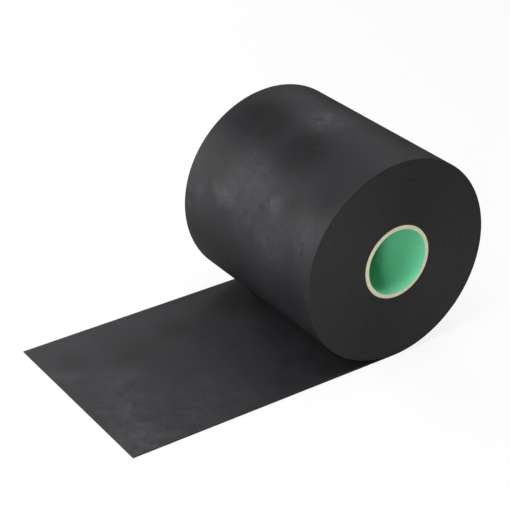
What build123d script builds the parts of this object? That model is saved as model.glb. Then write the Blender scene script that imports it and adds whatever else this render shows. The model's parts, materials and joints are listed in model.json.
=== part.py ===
from build123d import *
import math
import os

# A roll of black rubber sealing tape, lying on its side with its free end unrolled on the floor.
# The tape is wound on a cardboard core whose bore is lined with green paper.
#
# Frame: +Z up, the floor is Z = 0. Y runs along the roll's axis. The origin is on the floor,
# under the middle of the axis, on the line where the tape leaves the roll. The tail runs to -X.

# Driving dimensions, in millimetres
tape_width = 250.0
tape_thickness = 1.5
roll_diameter = 250.0      # across the outermost turn, at the line where it leaves the roll
tail_length = 349.0        # from that line to the square-cut end of the tape
core_bore = 80.0           # clear diameter inside the lining
core_wall = 5.0            # cardboard and lining together
lining_thickness = 0.5
nip_opening = 0.2          # gap at which the tail has parted from the turn above it
turns_per_line = 5         # the ends show one line for this many turns
turn_line_width = 0.6
turn_line_depth = 0.4

# Worked out from them
axis_height = roll_diameter / 2
bore_radius = core_bore / 2
lining_outer = bore_radius + lining_thickness
core_outer = bore_radius + core_wall
wound_radius = roll_diameter / 2 - tape_thickness      # the roll without its outermost turn
line_pitch = turns_per_line * tape_thickness
line_count = int((wound_radius - core_outer - turn_line_width) // line_pitch)

# Plane across the roll's axis, with its middle on the axis, for the round pieces
across_axis = Plane(origin=(0, 0, axis_height), x_dir=(1, 0, 0), z_dir=(0, -1, 0))


def tube(outer_radius, inner_radius):
    # A plain tube on the roll's axis, as long as the tape is wide
    with BuildPart() as made:
        with BuildSketch(across_axis):
            Circle(outer_radius)
            Circle(inner_radius, mode=Mode.SUBTRACT)
        extrude(amount=tape_width / 2, both=True)
    return made.part


def scroll_outline():
    # The roll and its tail seen along the axis. The outermost turn loses one tape thickness over
    # a full turn, as a spiral does: a half circle up the side away from the tail, then a smaller
    # one down to the tail's upper face. The roll and the tail part where the gap between them
    # has grown to nip_opening.
    top = roll_diameter - tape_thickness / 2
    rising_radius = top / 2
    falling_radius = (top - tape_thickness) / 2
    nip_reach = math.sqrt(2 * falling_radius * nip_opening - nip_opening**2)
    nip_top = tape_thickness + nip_opening
    with BuildLine() as outline:
        Line((-tail_length, 0), (0, 0))
        ThreePointArc((0, 0), (rising_radius, rising_radius), (0, top))
        ThreePointArc((0, top), (-falling_radius, tape_thickness + falling_radius), (-nip_reach, nip_top))
        Line((-nip_reach, nip_top), (-nip_reach, tape_thickness))
        Line((-nip_reach, tape_thickness), (-tail_length, tape_thickness))
        Line((-tail_length, tape_thickness), (-tail_length, 0))
    return outline.line


def turn_line(radius, end):
    # A shallow vee ring on one end of the roll, where two turns meet. end is -1 or +1 along Y.
    face_y = end * tape_width / 2
    half_width = turn_line_width / 2
    with BuildPart() as ring:
        with BuildSketch(Plane.YZ):
            with BuildLine():
                Polyline(
                    (face_y, axis_height + radius - half_width),
                    (face_y, axis_height + radius + half_width),
                    (face_y - end * turn_line_depth, axis_height + radius),
                    close=True,
                )
            make_face()
        revolve(axis=Axis((0, 0, axis_height), (0, 1, 0)))
    return ring.part


def rubber_tape():
    # Roll and tail are one strip, so they are one solid
    with BuildPart() as made:
        with BuildSketch(Plane.XZ):
            with BuildLine():
                add(scroll_outline())
            make_face()
            with Locations((0, axis_height)):
                Circle(core_outer, mode=Mode.SUBTRACT)
        extrude(amount=tape_width / 2, both=True)
    roll = made.part
    for line in range(1, line_count + 1):
        for end in (-1, 1):
            roll -= turn_line(core_outer + line * line_pitch, end)
    return roll


pieces = {
    "rubber_tape": rubber_tape(),
    "core_tube": tube(core_outer, lining_outer),
    "core_lining": tube(lining_outer, bore_radius),
}

os.makedirs("parts", exist_ok=True)
for name, piece in pieces.items():
    export_step(piece, f"parts/{name}.step")
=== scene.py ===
import json
import math
import bpy
import numpy as np
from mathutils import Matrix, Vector


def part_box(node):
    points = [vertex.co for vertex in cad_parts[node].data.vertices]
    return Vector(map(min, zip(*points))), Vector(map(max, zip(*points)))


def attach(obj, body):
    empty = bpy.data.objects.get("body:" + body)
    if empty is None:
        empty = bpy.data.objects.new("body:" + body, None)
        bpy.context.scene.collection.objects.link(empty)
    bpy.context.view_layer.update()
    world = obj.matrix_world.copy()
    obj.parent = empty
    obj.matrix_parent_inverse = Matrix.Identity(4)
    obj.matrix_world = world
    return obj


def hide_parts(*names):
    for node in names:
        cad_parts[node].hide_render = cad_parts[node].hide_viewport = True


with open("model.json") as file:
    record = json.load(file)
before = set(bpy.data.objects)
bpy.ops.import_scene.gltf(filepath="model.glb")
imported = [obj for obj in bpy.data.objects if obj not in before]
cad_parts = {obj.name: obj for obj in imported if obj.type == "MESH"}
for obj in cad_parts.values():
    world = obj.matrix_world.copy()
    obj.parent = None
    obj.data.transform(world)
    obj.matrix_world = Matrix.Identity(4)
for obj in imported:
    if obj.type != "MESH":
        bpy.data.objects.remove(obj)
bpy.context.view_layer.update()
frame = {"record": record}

# A roll of black rubber sealing tape on a cardboard core, with its free end unrolled on the floor.
# Lengths are in millimetres until a mesh is made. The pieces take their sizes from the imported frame
mm = 0.001


def boxInMm(node):
    low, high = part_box(node)
    return np.array(low) / mm, np.array(high) / mm


tapeLow, tapeHigh = boxInMm("rubber_tape")
coreLow, coreHigh = boxInMm("core_tube")
liningLow, liningHigh = boxInMm("core_lining")
boreMount = next(m for m in frame["record"]["mounts"] if m["name"] == "core_bore")

axisHeight = boreMount["pos_m"][2] / mm      # above the floor, so it is the roll's radius too
boreRadius = boreMount["dims"]["r_mm"]
coreRadius = round((coreHigh[2] - coreLow[2]) / 2, 3)
liningRadius = round((liningHigh[2] - liningLow[2]) / 2, 3)
halfWidth = round(tapeHigh[1], 3)
tailLength = round(-tapeLow[0], 3)
# Half a turn from where the tail leaves, the roll's top lies half a thickness below a full circle's
tapeThickness = round(2 * (2 * axisHeight - tapeHigh[2]), 3)
print("sizes: roll", 2 * axisHeight, "tape", 2 * halfWidth, "x", tapeThickness, "tail", tailLength)


def meshPiece(name, points, faces, smoothBelow):
    # One object from points in millimetres. Edges that turn by more than smoothBelow degrees stay crisp
    corners = [[int(i) for i in face] for face in faces]
    mesh = bpy.data.meshes.new(name)
    mesh.from_pydata((np.asarray(points) * mm).tolist(), [], corners)
    mesh.polygons.foreach_set("use_smooth", [True] * len(mesh.polygons))
    mesh.set_sharp_from_angle(angle=math.radians(smoothBelow))
    mesh.update()
    piece = bpy.data.objects.new(name, mesh)
    bpy.context.scene.collection.objects.link(piece)
    return piece


def aroundAxis(radius, along, angle):
    # Points about the roll's axis, ring by ring
    radius, along, angle = np.broadcast_arrays(radius, along, angle)
    points = np.stack([radius * np.cos(angle), along, axisHeight + radius * np.sin(angle)], axis=-1)
    return points.reshape(-1, 3)


def ringQuads(rings, steps):
    # Faces between such rings, the last ring joined to the first
    number = np.arange(rings * steps).reshape(rings, steps)
    onward = np.roll(number, -1, axis=0)
    corners = [number, onward, np.roll(onward, -1, axis=1), np.roll(number, -1, axis=1)]
    return np.stack(corners, axis=-1).reshape(-1, 4)


# The tape: a strip of one thickness, wound from the core outwards and then laid flat
tape = {
    "stepsPerTurn": 144,
    "firstClimb": 0.08,       # share of a turn in which the tape climbs over its own inner end
    "climbSpread": 0.16,      # how much longer that climb gets with each turn
    "edgeShares": (0.0, 0.2, 0.5, 0.8, 1.0),        # points across the cut edge, from face to face
    "edgeRelief": (0.55, 0.05, 0.0, 0.05, 0.55),    # how far each lies below the edge's crown
    "sideDrift": 0.1,         # how far the turns wander sideways
    "driftStep": 0.41,        # turns from one wander to the next
    "driftSeed": 7,
    "tailStep": 12.0,
    "cutEase": 0.25,          # rounding of the square-cut end
    "rowInset": 1.5,          # first mesh row of the faces, from the edge
    "rows": 9,
    "smoothBelow": 60,
    "bakeSheet": 960.0,       # side of the sheet that the surfaces are laid out on
    "bakeGap": 5.0,
}


def woundRadius(turn):
    # Radius of the tape's inner face, this many turns from its inner end. The first turn lies on the
    # core and climbs over its own end, and that climb spreads out turn by turn into a plain spiral
    whole = np.floor(turn)
    climb = np.minimum(1.0, tape["firstClimb"] + tape["climbSpread"] * whole)
    risen = np.clip((turn - whole - 1 + climb) / climb, 0, 1)
    return coreRadius + tapeThickness * (whole + risen)


def spiralLine(turn, turnsWound):
    # The line between neighbouring turns, in x and z. One turn further on it is the tape's other face
    angle = 2 * math.pi * (turnsWound - turn)     # from straight down, away from the tail
    radius = woundRadius(turn)
    return np.stack([radius * np.sin(angle), axisHeight - radius * np.cos(angle)], axis=1)


def sideInsets(turn, stepCount):
    # How far each turn's edge lies inside the tape's full width, on the near side and on the far side
    draw = np.random.default_rng(tape["driftSeed"])
    knots = np.arange(0, turn[-1] + 1, tape["driftStep"])
    wander = np.interp(turn[:stepCount], knots, draw.uniform(-1, 1, len(knots)))
    drift = wander * tape["sideDrift"]
    return tape["sideDrift"] + drift, tape["sideDrift"] - drift


def tailStations():
    # Distances along the tail, with one close to its end where the rounding of the cut begins
    cutStart = tailLength - tape["cutEase"]
    evenly = np.arange(tape["tailStep"], cutStart, tape["tailStep"])
    return np.concatenate([evenly, [cutStart, tailLength]])


def stripNumbers(stepCount, tailCount):
    # Point numbers across the strip, station by station. Wound ones share the spiral line's points
    perTurn = tape["stepsPerTurn"]
    innerCount = len(tape["edgeShares"]) - 2
    lineCount = stepCount + perTurn
    station = np.arange(stepCount)[:, None]
    inner = lineCount + station * innerCount + np.arange(innerCount)
    wound = np.concatenate([station, inner, station + perTurn], axis=1)
    tailStart = lineCount + stepCount * innerCount
    flat = tailStart + np.arange(tailCount * (innerCount + 2)).reshape(tailCount, -1)
    return wound, flat


def sidePoints(side, inset, line, laid):
    # All points of one end of the roll: spiral line, cut edges, tail. side is -1 near, +1 far
    perTurn = tape["stepsPerTurn"]
    stepCount = len(inset)
    shares = np.array(tape["edgeShares"])
    relief = np.array(tape["edgeRelief"])

    # A point of the line belongs to two turns, and goes in as far as the one that lies further in
    lineInset = np.zeros(len(line))
    lineInset[:stepCount] = inset
    lineInset[perTurn:] = np.maximum(lineInset[perTurn:], inset)
    onLine = np.stack([line[:, 0], side * (halfWidth - lineInset - relief[0]), line[:, 1]], axis=1)

    onEdge = []
    for share, low in zip(shares[1:-1], relief[1:-1]):
        between = line[:stepCount] * (1 - share) + line[perTurn:] * share
        onEdge.append(np.stack([between[:, 0], side * (halfWidth - inset - low), between[:, 1]], axis=1))
    onEdge = np.stack(onEdge, axis=1)

    tailZ = tapeThickness * (1 - shares)
    squeeze = 1 - 2 * tape["cutEase"] / tapeThickness
    onTail = np.empty((len(laid), len(shares), 3))
    onTail[:, :, 0] = -laid[:, None]
    onTail[:, :, 1] = side * (halfWidth - inset[-1] - relief)
    onTail[:, :, 2] = tailZ
    onTail[-1, :, 1] -= side * tape["cutEase"]
    onTail[-1, :, 2] = tapeThickness / 2 + (tailZ - tapeThickness / 2) * squeeze
    return np.concatenate([onLine, onEdge.reshape(-1, 3), onTail.reshape(-1, 3)])


def tapeQuads(section, outline, hole, sideCount):
    # Both ends of the roll, from station to station
    corners = [section[:-1, :-1], section[1:, :-1], section[1:, 1:], section[:-1, 1:]]
    nearEnd = np.stack(corners, axis=-1).reshape(-1, 4)
    farEnd = nearEnd[:, ::-1] + sideCount
    # Faces, row by row from the near end to the far end
    count = len(outline)
    lanes = [outline]
    lanes += [2 * sideCount + row * count + np.arange(count) for row in range(tape["rows"])]
    lanes.append(outline + sideCount)
    faces = []
    for a, b in zip(lanes, lanes[1:]):
        faces.append(np.stack([a, b, np.roll(b, -1), np.roll(a, -1)], axis=1))
    # Bore, with the tape's inner end standing in it
    nextHole = np.roll(hole, -1)
    bore = np.stack([hole, hole + sideCount, nextHole + sideCount, nextHole], axis=1)
    return nearEnd, farEnd, np.concatenate(faces), bore


def bakeLayout(points, quads, outline, wrapFrom, wrapTo):
    # Ends laid out as seen and faces unrolled, so that a bake gets even detail.
    # The roll's own face runs from wrapFrom to wrapTo in the outline
    sheet = tape["bakeSheet"]
    gap = tape["bakeGap"]
    nearEnd, farEnd, faces, bore = quads

    # Three rows on the sheet: the roll's face lowest, then the ends, then both sides of the tail
    rowHeight = 2 * halfWidth + gap
    planar = points[:, [0, 2]] + [tailLength, 0]
    nearUv = planar[nearEnd] + [0, rowHeight]
    farUv = planar[farEnd] + [sheet / 2, rowHeight]
    closed = points[np.append(outline, outline[0])]
    length = np.linalg.norm(np.diff(closed[:, [0, 2]], axis=0), axis=1)
    along = np.concatenate([[0], np.cumsum(length)])
    wrapLength = along[wrapTo] - along[wrapFrom]
    shift = np.zeros((len(outline), 2))
    shift[:] = [0, 2 * rowHeight]
    shift[wrapFrom:wrapTo] = [-along[wrapFrom], 0]
    shift[wrapTo:] = [gap - wrapLength, 2 * rowHeight]
    faceUv = np.empty((tape["rows"] + 1, len(outline), 4, 2))
    faceUv[:, :, :2, 0] = along[None, :-1, None]
    faceUv[:, :, 2:, 0] = along[None, 1:, None]
    faceUv[..., 1] = points[faces, 1].reshape(faceUv.shape[:3]) + halfWidth
    faceUv += shift[None, :, None, :]

    # The bore takes what is left of the lowest row
    boreRoom = sheet - wrapLength - gap
    share = np.arange(len(bore) + 1) / len(bore)
    boreUv = np.zeros((len(bore), 4, 2))
    boreUv[:, :2, 0] = share[:-1, None]
    boreUv[:, 2:, 0] = share[1:, None]
    boreUv[..., 0] = sheet - boreRoom * (1 - boreUv[..., 0])
    boreUv[..., 1] = points[bore, 1] + halfWidth
    return np.concatenate([nearUv, farUv, faceUv.reshape(-1, 4, 2), boreUv]) / sheet


def buildTape():
    perTurn = tape["stepsPerTurn"]
    lastStep = round(((axisHeight - coreRadius) / tapeThickness - 1) * perTurn)   # the tail leaves here
    stepCount = lastStep + 1
    turn = np.arange(stepCount + perTurn) / perTurn
    line = spiralLine(turn, lastStep / perTurn)
    laid = tailStations()
    nearInset, farInset = sideInsets(turn, stepCount)
    near = sidePoints(-1, nearInset, line, laid)
    far = sidePoints(1, farInset, line, laid)

    # Outline of the faces: along the tail's underside, round the roll, back over the tail, down its cut
    wound, flat = stripNumbers(stepCount, len(laid))
    under = flat[::-1, -1]
    around = np.arange(lastStep + perTurn, lastStep - 1, -1)
    over = flat[:, 0]
    outline = np.concatenate([under, around, over, flat[-1, 1:-1]])
    rowEnd = halfWidth - tape["rowInset"]
    rows = []
    for y in np.linspace(-rowEnd, rowEnd, tape["rows"]):
        row = near[outline]
        row[:, 1] = y
        rows.append(row)
    points = np.concatenate([near, far] + rows)
    hole = np.concatenate([np.arange(perTurn + 1), wound[0, -2:0:-1]])
    quads = tapeQuads(np.concatenate([wound, flat]), outline, hole, len(near))
    wrapFrom = len(under)
    wrapTo = wrapFrom + len(around) - 1
    uv = bakeLayout(points, quads, outline, wrapFrom, wrapTo)

    # Cut rubber on the ends, the free end and the inner end, rolled face everywhere else
    cut = np.concatenate([
        np.ones(len(quads[0]) + len(quads[1]), int),
        np.tile(np.arange(len(outline)) >= wrapTo + len(over), tape["rows"] + 1),
        np.arange(len(hole)) >= perTurn,
    ])

    piece = meshPiece("wound_rubber_tape", points, np.concatenate(quads), tape["smoothBelow"])
    piece.data.uv_layers.new(name="OFBake").data.foreach_set("uv", uv.ravel())
    piece.data.polygons.foreach_set("material_index", cut)
    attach(piece, "root")
    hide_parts("rubber_tape")
    print("tape: turns", round(lastStep / perTurn, 2), "quads", len(cut))
    return piece


# The core: a tube of wound board, its plies showing as fine rings on the sawn ends
core = {
    "steps": 128,
    "plies": 9,
    "plyFlat": 0.5,           # share of a ply's edge that stands level, the rest slopes down to the glue
    "plyRelief": 0.07,
    "edgeEase": 0.3,
    "smoothBelow": 50,
}


def buildCore():
    ply = (coreRadius - liningRadius) / core["plies"]
    slope = (1 - core["plyFlat"]) / 2
    end = [(liningRadius, halfWidth - core["edgeEase"])]
    for i in range(core["plies"]):
        start = liningRadius + i * ply
        end.append((start + slope * ply, halfWidth))
        end.append((start + (1 - slope) * ply, halfWidth))
        end.append((start + ply, halfWidth - core["plyRelief"]))
    end[-1] = (coreRadius, halfWidth - core["edgeEase"])
    profile = np.array([(r, -y) for r, y in end] + end[::-1])
    turn = 2 * math.pi * np.arange(core["steps"]) / core["steps"]
    points = aroundAxis(profile[:, :1], profile[:, 1:], turn)
    quads = ringQuads(len(profile), len(turn))
    piece = meshPiece("board_core_tube", points, quads, core["smoothBelow"])
    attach(piece, "root")
    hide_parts("core_tube")
    print("core: plies", core["plies"], "quads", len(quads))
    return piece


# The lining: one ply of green paper wound in a helix, with a hair-fine seam where its edges meet
lining = {
    "steps": 96,
    "rows": 100,
    "plyWidth": 130.0,
    "seamWidth": 0.5,
    "seamDepth": 0.12,
    "edgeEase": 0.2,
    "smoothBelow": 40,
}


def buildLining():
    girthShare = lining["plyWidth"] / (2 * math.pi * boreRadius)
    helixRise = lining["plyWidth"] / math.sqrt(1 - girthShare ** 2)
    halfSeam = lining["seamWidth"] / 2 / boreRadius
    evenly = np.linspace(0, 2 * math.pi, lining["steps"] + 1)[1:-1]
    turn = np.concatenate([[-halfSeam, 0, halfSeam], evenly])
    recess = np.zeros(len(turn))
    recess[1] = lining["seamDepth"]      # in the middle of the seam's three points
    # Round the ply's section: radius, place along the axis, and 1 where the seam shows
    eased = halfWidth - lining["edgeEase"]
    rim = boreRadius + lining["edgeEase"]
    profile = [(boreRadius, y, 1.0) for y in np.linspace(-eased, eased, lining["rows"])]
    profile.append((rim, halfWidth, 0.0))
    profile += [(liningRadius, y, 0.0) for y in np.linspace(halfWidth, -halfWidth, lining["rows"])]
    profile.append((rim, -halfWidth, 0.0))
    radius, along, seam = np.array(profile).T[:, :, None]
    angle = turn + 2 * math.pi * along / helixRise
    points = aroundAxis(radius + seam * recess, along, angle)
    # Turned over, because this section runs the other way round than the core's
    quads = ringQuads(len(profile), len(turn))[:, [0, 3, 2, 1]]
    piece = meshPiece("paper_core_lining", points, quads, lining["smoothBelow"])
    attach(piece, "root")
    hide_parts("core_lining")
    print("lining: helix rise", round(helixRise, 1), "quads", len(quads))
    return piece


tapePiece = buildTape()
corePiece = buildCore()
liningPiece = buildLining()

noiseMiddle = 0.5             # noise swings about this value


def linear(hexColour):
    # sRGB hex to the linear colour that shaders take
    parts = [int(hexColour[i:i + 2], 16) / 255 for i in (1, 3, 5)]
    return [p / 12.92 if p <= 0.04045 else ((p + 0.055) / 1.055) ** 2.4 for p in parts] + [1.0]


def perMetre(size):
    # Noise scale for a pattern whose blotches are this many millimetres across
    return 1 / (size * mm)


def addNode(tree, kind, settings=None, links=None):
    # Settings go to the node's own properties or to its inputs, links to its inputs
    node = tree.nodes.new(kind)
    for name, value in (settings or {}).items():
        if isinstance(name, int) or name in node.inputs:
            node.inputs[name].default_value = value
        else:
            setattr(node, name, value)
    for name, socket in (links or {}).items():
        tree.links.new(socket, node.inputs[name])
    return node


def newMaterial(name):
    material = bpy.data.materials.new(name)
    material.use_nodes = True
    material.node_tree.nodes.clear()
    return material, material.node_tree


# Rubber sheet rolled smooth between calender rolls and dusted with talc so that its turns don't stick.
# To the eye: near-black with a soft sheen that fades at flat angles, and cloudy paler and darker
# patches that are partly talc and partly painted sheen and painted shade
rubberFace = {
    "bare": "#161618",
    "dusted": "#404044",
    "ior": 1.52,
    "specular": 0.2,
    "roughBare": 0.61,
    "roughDusted": 0.63,
    "film": 0.25,             # how soon the talc hides the gloss as the surface is seen flatter
    "dust": 0.20,             # how much talc lies everywhere, 1 hides the rubber
    "mottleSize": 18.0,
    "mottleDetail": 6.0,
    "mottleRough": 0.8,
    "dustMottle": 1.9,        # how unevenly the dust lies
    "patchMottle": 6.0,       # and how unevenly the patches do
    "wispSize": 26.0,         # patches have edges that wander on this scale
    "wispDetail": 5.0,
    "wispRough": 0.66,
    "wisp": 34.0,             # by up to half of this
    "grainSize": 1.6,         # talc is far finer; drawn this coarse to show at all
    "grainDetail": 2.0,
    "grainHeight": 0.03,
    # Paler and darker patches: partly thicker and thinner talc and a few small dark specks, partly painted
    # light, that is painted sheen on the roll's bright bands and towards the tail's free end, and painted
    # shade in the dark band between the bands, on the roll's lowest side and top rim and where the tail
    # meets the roll.
    # On the roll: degrees up from the side where the tail lies, and place along the axis. On the tail:
    # distance from where it leaves the roll, and place across. Then how far the patch reaches and how much
    # it adds to the talc amount
    "rollTalcAndPaintedLight": [
        (90, 8, 46, 0.42),
        (97, 54, 48, 0.16),
        (98, -48, 40, 0.08),
        (100, 94, 34, 0.10),
        (21, 44, 26, 0.40),
        (22, 66, 18, 0.26),
        (32, -34, 16, 0.28),
        (14, -45, 48, 0.22),
        (16, 10, 28, 0.20),
        (38, 16, 50, 0.16),
        (10, 104, 42, 0.17),
        (26, -106, 42, 0.26),
        (64, -18, 62, -0.19),
        (68, 80, 62, -0.20),
        (67, 42, 36, -0.12),
        (33, 88, 44, -0.26),
        (36, -62, 28, -0.18),
        (44, -98, 42, -0.12),
        (28, -14, 6, -0.40),
        (33, -26, 5, -0.40),
        (45, 0, 7, -0.18),
        (-19, 84, 66, -0.26),
        (-12, 26, 60, -0.15),
        (-6, -90, 50, -0.10),
        (118, -60, 62, -0.16),
        (118, 60, 62, -0.16),
    ],
    # Talc patches on the tail, with painted sheen towards its free end and painted shade near the roll
    "tailTalcAndPaintedLight": [
        (325, -110, 60, 0.34),
        (320, -45, 60, 0.18),
        (333, 50, 28, 0.20),
        (288, 10, 50, 0.18),
        (92, -45, 36, 0.12),
        (106, -98, 36, 0.14),
        (256, -112, 56, 0.10),
        (222, -72, 72, 0.08),
        (284, -42, 50, 0.09),
        (240, 50, 72, -0.12),
        (180, 68, 42, -0.15),
        (312, 72, 36, -0.12),
        (74, 74, 60, -0.22),
    ],
}


def talcAndPaintedLightPlaces():
    # Centre and reach of each patch in metres, and how much it adds to the talc amount, which carries
    # painted sheen and painted shade as well as talc
    places = []
    for lean, along, reach, amount in rubberFace["rollTalcAndPaintedLight"]:
        angle = math.radians(lean)
        x = -axisHeight * math.cos(angle)
        z = axisHeight * (1 + math.sin(angle))
        places.append((Vector((x, along, z)) * mm, reach * mm, amount))
    for away, across, reach, amount in rubberFace["tailTalcAndPaintedLight"]:
        places.append((Vector((-away, across, tapeThickness)) * mm, reach * mm, amount))
    return places


def talcAndPaintedLightLayer(tree, place):
    # How much talc lies at each place, with the painted sheen and painted shade of the patches in it: dust
    # all over, and the patches, both made uneven by one noise
    look = rubberFace
    wisps = addNode(tree, "ShaderNodeTexNoise", {
        "Scale": perMetre(look["wispSize"]),
        "Detail": look["wispDetail"],
        "Roughness": look["wispRough"],
    }, {"Vector": place})
    centred = addNode(tree, "ShaderNodeVectorMath", {
        "operation": "SUBTRACT", 1: (noiseMiddle,) * 3,
    }, {0: wisps.outputs["Color"]})
    wandered = addNode(tree, "ShaderNodeVectorMath", {
        "operation": "MULTIPLY_ADD", 1: (look["wisp"] * mm,) * 3,
    }, {0: centred.outputs[0], 2: place})
    mottle = addNode(tree, "ShaderNodeTexNoise", {
        "Scale": perMetre(look["mottleSize"]),
        "Detail": look["mottleDetail"],
        "Roughness": look["mottleRough"],
    }, {"Vector": wandered.outputs[0]})
    uneven = addNode(tree, "ShaderNodeMath", {
        "operation": "MULTIPLY_ADD", 1: look["patchMottle"], 2: 1 - look["patchMottle"] * noiseMiddle,
    }, {0: mottle.outputs["Fac"]})
    dust = addNode(tree, "ShaderNodeMath", {
        "operation": "MULTIPLY_ADD",
        1: look["dust"] * look["dustMottle"],
        2: look["dust"] * (1 - look["dustMottle"] * noiseMiddle),
    }, {0: mottle.outputs["Fac"]})
    patches = addNode(tree, "ShaderNodeMath", {"operation": "ADD", 0: 0.0, 1: 0.0})    # a sum, none yet
    for centre, reach, amount in talcAndPaintedLightPlaces():
        away = addNode(tree, "ShaderNodeVectorMath", {"operation": "DISTANCE", 1: centre}, {
            0: wandered.outputs[0],
        })
        patch = addNode(tree, "ShaderNodeMapRange", {
            "interpolation_type": "SMOOTHERSTEP",
            "From Min": 0.0, "From Max": reach, "To Min": amount, "To Max": 0.0,
        }, {"Value": away.outputs["Value"]})
        patches = addNode(tree, "ShaderNodeMath", {"operation": "ADD"}, {
            0: patches.outputs[0], 1: patch.outputs["Result"],
        })
    talcAndPaintedLight = addNode(tree, "ShaderNodeMath", {"operation": "MULTIPLY_ADD"}, {
        0: patches.outputs[0], 1: uneven.outputs[0], 2: dust.outputs[0],
    })
    return talcAndPaintedLight.outputs[0]


def calenderedRubber():
    look = rubberFace
    material, tree = newMaterial("calendered_rubber_talc_and_painted_light")
    place = addNode(tree, "ShaderNodeTexCoord").outputs["Object"]
    talcAndPaintedLight = talcAndPaintedLightLayer(tree, place)
    # Paler with talc and with painted sheen, darker towards bare rubber with painted shade
    colour = addNode(tree, "ShaderNodeMix", {
        "data_type": "RGBA", 6: linear(look["bare"]), 7: linear(look["dusted"]),
    }, {0: talcAndPaintedLight})
    rough = addNode(tree, "ShaderNodeMapRange", {
        "To Min": look["roughBare"], "To Max": look["roughDusted"],
    }, {"Value": talcAndPaintedLight})
    grain = addNode(tree, "ShaderNodeTexNoise", {
        "Scale": perMetre(look["grainSize"]), "Detail": look["grainDetail"],
    }, {"Vector": place})
    bump = addNode(tree, "ShaderNodeBump", {"Distance": look["grainHeight"] * mm}, {
        "Height": grain.outputs["Fac"],
    })
    rubber = addNode(tree, "ShaderNodeBsdfPrincipled", {
        "IOR": look["ior"], "Specular IOR Level": look["specular"],
    }, {
        "Base Color": colour.outputs[2],
        "Roughness": rough.outputs["Result"],
        "Normal": bump.outputs["Normal"],
    })
    # Seen flat along the surface, the film of talc covers the rubber's gloss
    film = addNode(tree, "ShaderNodeBsdfDiffuse", None, {
        "Color": colour.outputs[2], "Normal": bump.outputs["Normal"],
    })
    flatness = addNode(tree, "ShaderNodeLayerWeight", {"Blend": look["film"]})
    surface = addNode(tree, "ShaderNodeMixShader", None, {
        0: flatness.outputs["Facing"], 1: rubber.outputs["BSDF"], 2: film.outputs["BSDF"],
    })
    addNode(tree, "ShaderNodeOutputMaterial", None, {"Surface": surface.outputs[0]})
    return material


# The same rubber where a knife slit it. To the eye: darker and flatter than the rolled face, with a
# faint drag and turns that differ a little in shade
rubberCut = {
    "body": "#2d2d2e",
    "drag": "#343435",
    "ior": 1.52,
    "specular": 0.02,
    "roughness": 0.62,
    "dragSize": 3.0,
    "dragDetail": 3.0,
    "toneSize": 3.0,          # shade of the turns; drawn over two turns, as one is about a pixel wide
    "toneDetail": 1.0,
    "toneSway": 1.0,
}


def slitRubber():
    look = rubberCut
    material, tree = newMaterial("slit_rubber_edge")
    place = addNode(tree, "ShaderNodeTexCoord").outputs["Object"]
    drag = addNode(tree, "ShaderNodeTexNoise", {
        "Scale": perMetre(look["dragSize"]), "Detail": look["dragDetail"],
    }, {"Vector": place})
    # Distance from the roll's axis, which lies along y
    fromAxis = addNode(tree, "ShaderNodeVectorMath", {
        "operation": "MULTIPLY_ADD", 1: (1, 0, 1), 2: (0, 0, -axisHeight * mm),
    }, {0: place})
    radius = addNode(tree, "ShaderNodeVectorMath", {"operation": "LENGTH"}, {
        0: fromAxis.outputs[0],
    })
    tone = addNode(tree, "ShaderNodeTexNoise", {
        "noise_dimensions": "1D", "Scale": perMetre(look["toneSize"]), "Detail": look["toneDetail"],
    }, {"W": radius.outputs["Value"]})
    both = addNode(tree, "ShaderNodeMath", {"operation": "MULTIPLY_ADD", 1: look["toneSway"]}, {
        0: tone.outputs["Fac"], 2: drag.outputs["Fac"],
    })
    sway = look["toneSway"] * noiseMiddle
    shade = addNode(tree, "ShaderNodeMapRange", {"From Min": sway, "From Max": 1 + sway}, {
        "Value": both.outputs[0],
    })
    colour = addNode(tree, "ShaderNodeMix", {
        "data_type": "RGBA", 6: linear(look["body"]), 7: linear(look["drag"]),
    }, {0: shade.outputs["Result"]})
    shader = addNode(tree, "ShaderNodeBsdfPrincipled", {
        "IOR": look["ior"], "Specular IOR Level": look["specular"], "Roughness": look["roughness"],
    }, {"Base Color": colour.outputs[2]})
    addNode(tree, "ShaderNodeOutputMaterial", None, {"Surface": shader.outputs["BSDF"]})
    return material


# Bare wound board, sawn across. To the eye: matt cream, flecked with darker fibres that took up glue
coreBoard = {
    "board": "#cfc8ad",
    "glue": "#baa786",
    "roughness": 0.85,
    "ior": 1.5,
    "fibreSize": 1.2,
    "fibreDetail": 3.0,
    "fleckFrom": 0.45,        # noise values between which the flecks come in
    "fleckTo": 0.75,
    "fleckMost": 0.5,
}


def sawnBoard():
    look = coreBoard
    material, tree = newMaterial("sawn_wound_board")
    place = addNode(tree, "ShaderNodeTexCoord").outputs["Object"]
    fibre = addNode(tree, "ShaderNodeTexNoise", {
        "Scale": perMetre(look["fibreSize"]), "Detail": look["fibreDetail"],
    }, {"Vector": place})
    fleck = addNode(tree, "ShaderNodeMapRange", {
        "From Min": look["fleckFrom"], "From Max": look["fleckTo"], "To Max": look["fleckMost"],
    }, {"Value": fibre.outputs["Fac"]})
    colour = addNode(tree, "ShaderNodeMix", {
        "data_type": "RGBA", 6: linear(look["board"]), 7: linear(look["glue"]),
    }, {0: fleck.outputs["Result"]})
    shader = addNode(tree, "ShaderNodeBsdfPrincipled", {
        "IOR": look["ior"], "Roughness": look["roughness"],
    }, {"Base Color": colour.outputs[2]})
    addNode(tree, "ShaderNodeOutputMaterial", None, {"Surface": shader.outputs["BSDF"]})
    return material


# Dyed liner paper, glazed on its face. To the eye: even mid green with a soft satin sheen
linerPaper = {
    "dye": "#66c195",
    "pale": "#72cda1",
    "roughness": 0.5,
    "ior": 1.5,
    "fibreSize": 4.0,
    "fibreDetail": 4.0,
}


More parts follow.
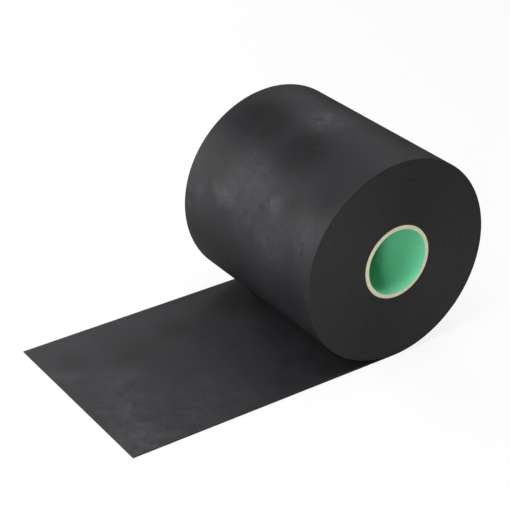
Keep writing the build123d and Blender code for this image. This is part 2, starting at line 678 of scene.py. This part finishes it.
def dyedPaper():
    look = linerPaper
    material, tree = newMaterial("dyed_liner_paper")
    place = addNode(tree, "ShaderNodeTexCoord").outputs["Object"]
    fibre = addNode(tree, "ShaderNodeTexNoise", {
        "Scale": perMetre(look["fibreSize"]), "Detail": look["fibreDetail"],
    }, {"Vector": place})
    colour = addNode(tree, "ShaderNodeMix", {
        "data_type": "RGBA", 6: linear(look["dye"]), 7: linear(look["pale"]),
    }, {0: fibre.outputs["Fac"]})
    shader = addNode(tree, "ShaderNodeBsdfPrincipled", {
        "IOR": look["ior"], "Roughness": look["roughness"],
    }, {"Base Color": colour.outputs[2]})
    addNode(tree, "ShaderNodeOutputMaterial", None, {"Surface": shader.outputs["BSDF"]})
    return material


tapePiece.data.materials.append(calenderedRubber())
tapePiece.data.materials.append(slitRubber())
corePiece.data.materials.append(sawnBoard())
liningPiece.data.materials.append(dyedPaper())
print("materials: done")

# White studio floor, a wide disc whose rim turns up so that it is also the backdrop in low views
studio = {
    "floorRings": ((20000.0, -0.2), (21000.0, 400.0), (21500.0, 3500.0)),    # radius and height
    "floorSides": 64,
    "floorColour": "#e6e6e6",
    "smoothBelow": 80,
    "glow": 0.85,             # how much of the white is even, the rest takes the shadow
    "surround": "#0d0d0d",
}


def buildFloor():
    turn = 2 * math.pi * np.arange(studio["floorSides"]) / studio["floorSides"]
    rings = [np.stack([r * np.cos(turn), r * np.sin(turn), np.full(len(turn), z)], axis=1)
             for r, z in studio["floorRings"]]
    middle = (0, 0, studio["floorRings"][0][1])
    points = np.concatenate([[middle]] + rings)
    number = 1 + np.arange(len(points) - 1).reshape(len(rings), -1)
    faces = [(0, a, b) for a, b in zip(number[0], np.roll(number[0], -1))]
    for low, high in zip(number, number[1:]):
        faces += list(zip(low, np.roll(low, -1), np.roll(high, -1), high))
    floor = meshPiece("studio_floor", points, faces, studio["smoothBelow"])

    material, tree = newMaterial("white_studio_floor")
    path = addNode(tree, "ShaderNodeLightPath")
    seen = addNode(tree, "ShaderNodeMath", {"operation": "ADD"}, {
        0: path.outputs["Is Camera Ray"], 1: path.outputs["Is Glossy Ray"],
    })
    seenAll = addNode(tree, "ShaderNodeMath", {"operation": "ADD", "use_clamp": True}, {
        0: seen.outputs[0], 1: path.outputs["Is Transmission Ray"],
    })
    glowShare = addNode(tree, "ShaderNodeMath", {"operation": "MULTIPLY", 1: studio["glow"]}, {
        0: seenAll.outputs[0],
    })
    matt = addNode(tree, "ShaderNodeBsdfDiffuse", {"Color": linear(studio["floorColour"])})
    white = addNode(tree, "ShaderNodeEmission")
    mixed = addNode(tree, "ShaderNodeMixShader", None, {
        0: glowShare.outputs[0], 1: matt.outputs[0], 2: white.outputs[0],
    })
    addNode(tree, "ShaderNodeOutputMaterial", None, {"Surface": mixed.outputs[0]})
    floor.data.materials.append(material)


def buildSurround():
    world = bpy.data.worlds.new("dim_surround")
    world.use_nodes = True
    tree = world.node_tree
    tree.nodes.clear()
    background = addNode(tree, "ShaderNodeBackground", {"Color": linear(studio["surround"])})
    addNode(tree, "ShaderNodeOutputWorld", None, {"Surface": background.outputs[0]})
    bpy.context.scene.world = world


# Soft boxes round the roll: the point each is aimed at in millimetres, compass bearing from +X towards +Y
# and height in degrees, distance, width and depth in metres, power in watts
onRoll = (0, 0, axisHeight)
onWhole = (-150, 0, 60)
softBoxes = {
    "keyLeft": {"aim": onRoll, "from": (225, 12), "distance": 2.0, "size": (0.35, 0.35), "power": 20.1},
    "highLeft": {"aim": onWhole, "from": (210, 50), "distance": 1.0, "size": (0.4, 0.4), "power": 3.2},
    "lowLeft": {"aim": onWhole, "from": (120, 20), "distance": 1.0, "size": (0.4, 0.4), "power": 7.7},
    "lowBack": {"aim": onRoll, "from": (83, 7), "distance": 2.0, "size": (0.35, 0.35), "power": 13.9},
    "overheadRight": {"aim": onRoll, "from": (345, 75), "distance": 2.0, "size": (0.9, 0.6), "power": 19.2},
    "overheadLeft": {"aim": onRoll, "from": (215, 76), "distance": 2.0, "size": (0.9, 0.6), "power": 12.2},
    "backRight": {"aim": onRoll, "from": (47, 34), "distance": 2.0, "size": (0.9, 0.6), "power": 7.9},
}


def bearingVector(bearing, height):
    b = math.radians(bearing)
    h = math.radians(height)
    return Vector((math.cos(b) * math.cos(h), math.sin(b) * math.cos(h), math.sin(h)))


def buildLights():
    for name, box in softBoxes.items():
        lamp = bpy.data.lights.new(name, "AREA")
        lamp.shape = "RECTANGLE"
        lamp.size, lamp.size_y = box["size"]
        lamp.energy = box["power"]
        holder = bpy.data.objects.new(name, lamp)
        direction = bearingVector(*box["from"])
        holder.location = Vector(box["aim"]) * mm + direction * box["distance"]
        holder.rotation_euler = direction.to_track_quat("Z", "Y").to_euler()
        holder.visible_camera = False
        bpy.context.scene.collection.objects.link(holder)


# The camera, set by fitting the outlines of roll, core and tail in the photograph
camera = {
    "turn": -34.558,          # degrees about the vertical, 0 looks along +Y
    "height": 29.308,         # degrees above the horizon
    "distance": 1.91958,      # metres from the part's origin, along the view
    "aside": 0.08868,         # the origin lies this far right of the picture's middle
    "below": 0.06652,         # and this far below it
    "lens": 111.463,
    "sensor": 36.0,
    "clipEnd": 50.0,          # metres, past the far rim of the floor
}


def buildCamera():
    turn = math.radians(camera["turn"])
    height = math.radians(camera["height"])
    level = Vector((math.sin(turn), -math.cos(turn), 0))
    back = level * math.cos(height) + Vector((0, 0, math.sin(height)))
    right = Vector((math.cos(turn), math.sin(turn), 0))
    up = back.cross(right)
    eye = bpy.data.cameras.new("camera")
    eye.lens = camera["lens"]
    eye.sensor_width = camera["sensor"]
    eye.clip_end = camera["clipEnd"]
    holder = bpy.data.objects.new("camera", eye)
    holder.location = back * camera["distance"] - right * camera["aside"] + up * camera["below"]
    holder.rotation_euler = (math.radians(90) - height, 0, turn)
    bpy.context.scene.collection.objects.link(holder)
    bpy.context.scene.camera = holder


buildFloor()
buildSurround()
buildLights()
buildCamera()
bpy.context.scene.view_settings.view_transform = "Standard"
print("studio: lights", len(softBoxes))
